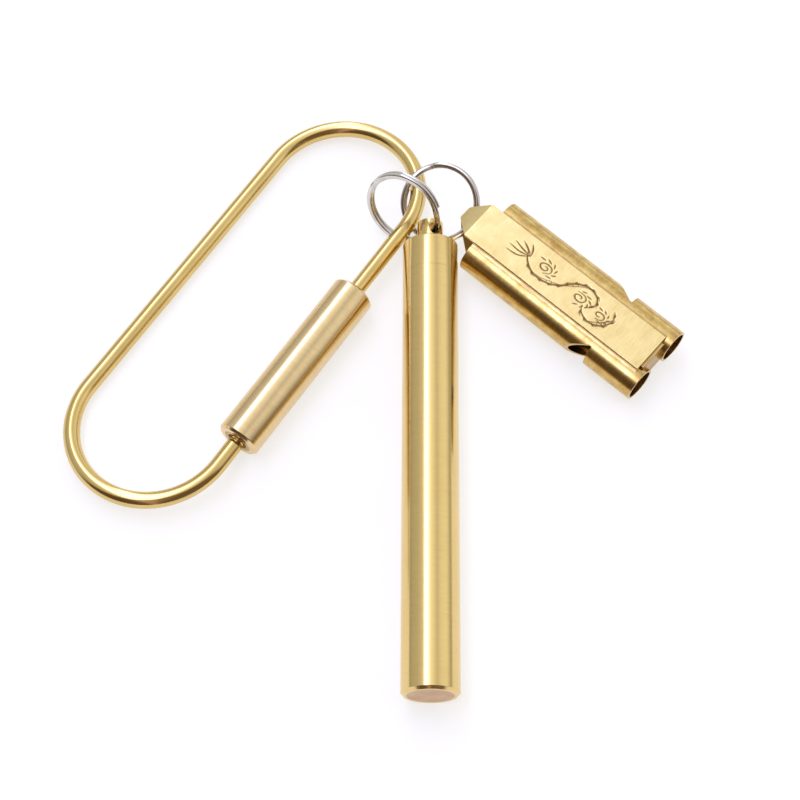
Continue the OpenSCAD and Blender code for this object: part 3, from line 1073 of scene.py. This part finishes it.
def graver_depth(xs, ys):
    """How deep the graver went at each (x, y), from 0 on the bare plate to 1 in a stroke."""
    near_enough, shoulder = 0.8, 1.35
    depth = np.zeros(len(xs))
    for stroke in scroll:
        line = np.array(stroke)
        for (ax, ay, aw), (bx, by, bw) in zip(line, line[1:]):
            near = np.abs(xs - (ax + bx) / 2) < near_enough
            near &= np.abs(ys - (ay + by) / 2) < near_enough
            px, py = xs[near], ys[near]
            span = max((bx - ax) ** 2 + (by - ay) ** 2, 1e-9)
            t = np.clip(((px - ax) * (bx - ax) + (py - ay) * (by - ay)) / span, 0, 1)
            off = np.hypot(px - ax - t * (bx - ax), py - ay - t * (by - ay))
            width = aw + t * (bw - aw)
            depth[near] = np.maximum(depth[near], np.clip(shoulder - off / width, 0, 1))
    return depth


engraving_start, engraving_end = 8.2, 35.4
engraving_margin = 0.6
engraving_depth = 0.07
plate_cell = 0.1
plain_rows_past, plain_rows_before = 38.0, 5.0
back_rows = (8.0, 16.0, 24.0, 32.0)
outer = rounded_run(
    [
        (strap_inset, -plate_height), (lug_start, -plate_height), (lug_end, -lug_tip_z),
        (lug_end, lug_tip_z), (lug_start, plate_height), (strap_inset, plate_height),
    ],
    [0, fold_round, tip_round, tip_round, fold_round, 0],
)
engraved_rows = np.arange(engraving_end, engraving_start, -plate_cell)
front_rows = (plain_rows_past, *engraved_rows, plain_rows_before)
front = [(x, plate_height, -1.0, 0.0) for x in front_rows]
back = [(x, -plate_height, 1.0, 0.0) for x in back_rows]
run = [outer[0], *back, *outer[1:-1], *front, outer[-1]]
columns = round(strap_w / plate_cell)
xs, ys, on_front = [], [], []
for x, z, dx, dz in run:
    half = strap_half_width(x)
    for c in range(columns + 1):
        xs.append(x)
        ys.append(half * (2 * c / columns - 1))
        on_front.append(z > plate_height - 0.001 and x < engraving_end + engraving_margin)
xs, ys = np.array(xs), np.array(ys)
depths = np.where(on_front, graver_depth(xs, ys), 0.0)

strap_shape = bmesh.new()
faces_out, faces_in = [], []
for i, (x, z, dx, dz) in enumerate(run):
    inward = Vector((-dz, 0, dx))
    here = Vector((x, 0, z))
    row_out, row_in = [], []
    for c in range(columns + 1):
        k = i * (columns + 1) + c
        side = Vector((0, ys[k], 0))
        cut_in = inward * engraving_depth * depths[k]
        row_out.append(strap_shape.verts.new((here + side + cut_in) * mm))
        under = here + inward * strap_t
        side = Vector((0, strap_half_width(under.x) * (2 * c / columns - 1), 0))
        row_in.append(strap_shape.verts.new((under + side) * mm))
    faces_out.append(row_out)
    faces_in.append(row_in)
for i in range(len(run) - 1):
    for c in range(columns):
        a, b = faces_out[i], faces_out[i + 1]
        strap_shape.faces.new((a[c], a[c + 1], b[c + 1], b[c]))
        a, b = faces_in[i], faces_in[i + 1]
        strap_shape.faces.new((a[c], b[c], b[c + 1], a[c + 1]))
    for c in (0, columns):
        strap_shape.faces.new(
            (faces_out[i][c], faces_out[i + 1][c], faces_in[i + 1][c], faces_in[i][c])
        )
for i in (0, -1):
    for c in range(columns):
        strap_shape.faces.new(
            (faces_out[i][c], faces_out[i][c + 1], faces_in[i][c + 1], faces_in[i][c])
        )
bmesh.ops.recalc_face_normals(strap_shape, faces=strap_shape.faces)
strap = made("strap_folded_sheet", strap_shape, whistle_place)
engraved = strap.data.attributes.new("engraved", "FLOAT", "POINT")
per_row = columns + 1
for i in range(len(run)):
    for c in range(per_row):
        engraved.data[i * 2 * per_row + 2 * c].value = depths[i * per_row + c]

brushed_brass = metal(
    "brushed_plate_brass", (0.76, 0.61, 0.27), (0.60, 0.43, 0.14), stained=0.6, rough=0.32,
    lines=(7, 0.5, 7), cut=0.5, blotch=0.0025, streaked=0.16, speckle=7.0,
)
plate_nodes = brushed_brass.node_tree.nodes
plate_shader = plate_nodes["Principled BSDF"]
plain_colour = plate_shader.inputs["Base Color"].links[0].from_socket
# The engraved lines are coloured a dark brown, near black, the more so where each point is cut deeper.
cut_line = plate_nodes.new("ShaderNodeAttribute")
cut_line.attribute_name = "engraved"
darkened_cuts = node_with(
    plate_nodes, "ShaderNodeMix",
    {"Factor": cut_line.outputs["Fac"], "A": plain_colour, "B": (0.13, 0.065, 0.02, 1)},
    data_type="RGBA",
)
set_sockets(plate_shader, {"Base Color": darkened_cuts.outputs["Result"]})
fitted(strap, brushed_brass, "whistle", ["folded_strap"], edge=0.04, sharp=62)

# ---- Solder seams ----
# Soft solder run along both edges of the strap, front and back. It wets the barrels' sides
# in a low fillet, a little wavy where it was fed by hand.

seam_reach = 0.8
seam_climb = 0.32
seam_hollow = 1.6
seam_lift, seam_sink = 0.004, 0.02
seam_rows = 60
solder = metal(
    "brassy_solder", (0.74, 0.54, 0.23), (0.44, 0.27, 0.09), stained=0.7, rough=0.26,
    lines=(2, 2, 2), cut=0.6, blotch=0.002, streaked=0.2,
)


def seam_section(side, face, swell):
    """The fillet between the strap's edge and the barrel, as (y, z) points round it."""
    reach, climb = seam_reach * swell, seam_climb * strap_t * swell
    edge = strap_w / 2
    points = [(spacer_half_w, barrel_r), (edge, barrel_r), (edge, barrel_r + climb)]
    for t in (0.35, 0.7):
        points.append((edge + reach * t, barrel_r + climb * (1 - t) ** seam_hollow - seam_sink))
    for y in np.linspace(edge + reach, spacer_half_w, 8):
        on_barrel = math.sqrt(barrel_r**2 - (barrel_apart / 2 - y) ** 2)
        points.append((y, on_barrel + seam_lift))
    return [(side * y, face * z) for y, z in points]


for side, hand in ((1, "left"), (-1, "right")):
    for face, name in ((1, "front"), (-1, "back")):
        stations = []
        for x in np.linspace(strap_inset, barrel_length, seam_rows):
            swell = 0.9 + 0.06 * math.sin(x * 1.9 + side) + 0.04 * math.sin(x * 4.7 + face)
            stations.append(
                ((x, 0, 0), (0, 1, 0), (0, 0, 1), seam_section(side, face, swell))
            )
        seam = drawn(f"{hand}_{name}_solder", stations, whistle_place)
        fitted(seam, solder, "whistle", [f"{hand}_solder_seams"], edge=0, sharp=40)

# ---- Whistle's split ring ----
# The same spring wire ring again, sprung open once to thread it through the slot in the
# whistle's lug and round the bend of the loop wire.

pin_from_tip, pin_aside, pin_below = 1.65, 0.35, 1
lug_pin = whistle_place @ (Vector((lug_end - pin_from_tip, pin_aside, -pin_below)) * mm)
ends_from_lug = 166.2
ring_joint = joints["whistle_round_ring"]
split_ring(
    "whistle_ring_coil", ring_joint["pos_m"], ring_joint["axis"],
    lug_pin, ends_from_lug, nickel, "whistle_ring", "whistle_split_ring",
)

# ---- Floor, light and camera ----
# A pale sheet of paper under the set, in a soft tent that glows all round. A long bright
# strip hangs along it, a little left of overhead, and the tent's near end is dim and warm.
# The camera looks down at the set from over its near end.

floor_z = cad_box[0][2]
floor_drop = 0.02 * mm
floor_half, floor_middle = 1.6, 0.05
floor_shape = bmesh.new()
bmesh.ops.create_grid(floor_shape, x_segments=8, y_segments=8, size=floor_half)
floor_place = Matrix.Translation((0, floor_middle, floor_z - floor_drop))
floor = made("floor_sheet", floor_shape, floor_place)
paper = bpy.data.materials.new("pale_paper")
paper.use_nodes = True
paper_nodes = paper.node_tree.nodes
fibres = node_with(paper_nodes, "ShaderNodeTexNoise", {"Scale": 300})
fibre_tint = node_with(
    paper_nodes, "ShaderNodeMix",
    {"Factor": fibres.outputs["Fac"], "A": (0.42, 0.42, 0.42, 1), "B": (0.45, 0.45, 0.45, 1)},
    data_type="RGBA",
)
set_sockets(
    paper_nodes["Principled BSDF"],
    {
        "Base Color": fibre_tint.outputs["Result"], "Roughness": 0.9,
        "Specular IOR Level": 0.1, "Emission Strength": 0.66, "Emission Color": (1, 1, 1, 1),
    },
)
floor.data.materials.append(paper)

tent = bpy.data.worlds.new("studio")
tent.use_nodes = True
tent_nodes = tent.node_tree.nodes
tent_place = tent_nodes.new("ShaderNodeTexCoord").outputs["Generated"]
tent_split = node_with(tent_nodes, "ShaderNodeSeparateXYZ", {"Vector": tent_place}).outputs
lean = node_with(
    tent_nodes, "ShaderNodeMath", {0: tent_split["X"], 1: tent_split["Z"]}, operation="ARCTAN2"
)
lean_share = node_with(
    tent_nodes, "ShaderNodeMapRange",
    {"Value": lean.outputs["Value"], "From Min": -math.pi / 2, "From Max": math.pi / 2},
)
long_lights = node_with(
    tent_nodes, "ShaderNodeValToRGB", {"Fac": lean_share.outputs["Result"]}
)
near_side = node_with(
    tent_nodes, "ShaderNodeMapRange",
    {"Value": tent_split["Y"], "From Min": -0.40, "From Max": -0.10},
    interpolation_type="SMOOTHSTEP",
)
dim_end = node_with(
    tent_nodes, "ShaderNodeMix",
    {"Factor": near_side.outputs["Result"], "A": (0.20, 0.145, 0.10, 1), "B": (1, 1, 1, 1)},
    data_type="RGBA",
)
shaded = node_with(
    tent_nodes, "ShaderNodeMix",
    {"Factor": 1.0, "A": long_lights.outputs["Color"], "B": dim_end.outputs["Result"]},
    data_type="RGBA", blend_type="MULTIPLY",
)

# How bright the tent is, by how many degrees it leans from overhead: minus is to the left.
brightest = 3.4
strip_level, strip_cool = 1.5, 1.4
set_sockets(
    tent_nodes["Background"], {"Color": shaded.outputs["Result"], "Strength": brightest}
)
light_at = {
    -90: 0.42, -72: 0.58, -52: 0.62, -34: 0.78, -27: 0.88, -22: 3.3, -12: 3.3, -7: 1.6, 0: 1.22,
    12: 1.02, 21: 0.80, 27: 0.72, 33: 0.90, 45: 1.02, 62: 1.06, 70: 0.95, 79: 0.58, 90: 0.45,
}
ramp = long_lights.color_ramp
while len(ramp.elements) > 1:
    ramp.elements.remove(ramp.elements[-1])
for i, (degrees, level) in enumerate(light_at.items()):
    spot = (degrees + 90) / 180
    stop = ramp.elements[0] if i == 0 else ramp.elements.new(spot)
    stop.position = spot
    share = level / brightest
    cool = strip_cool if level > strip_level else 1.0
    stop.color = (share, share, share * cool, 1)
bpy.context.scene.world = tent

camera = bpy.data.cameras.new("camera")
camera.sensor_width = 36
camera.lens = 83.25
camera_stand = bpy.data.objects.new("camera", camera)
camera_stand.location = (-0.00452, -0.07913, 0.29708)
camera_stand.rotation_euler = (math.radians(24), 0, math.radians(0.355))
bpy.context.scene.collection.objects.link(camera_stand)
bpy.context.scene.camera = camera_stand
bpy.context.scene.view_settings.view_transform = "Standard"
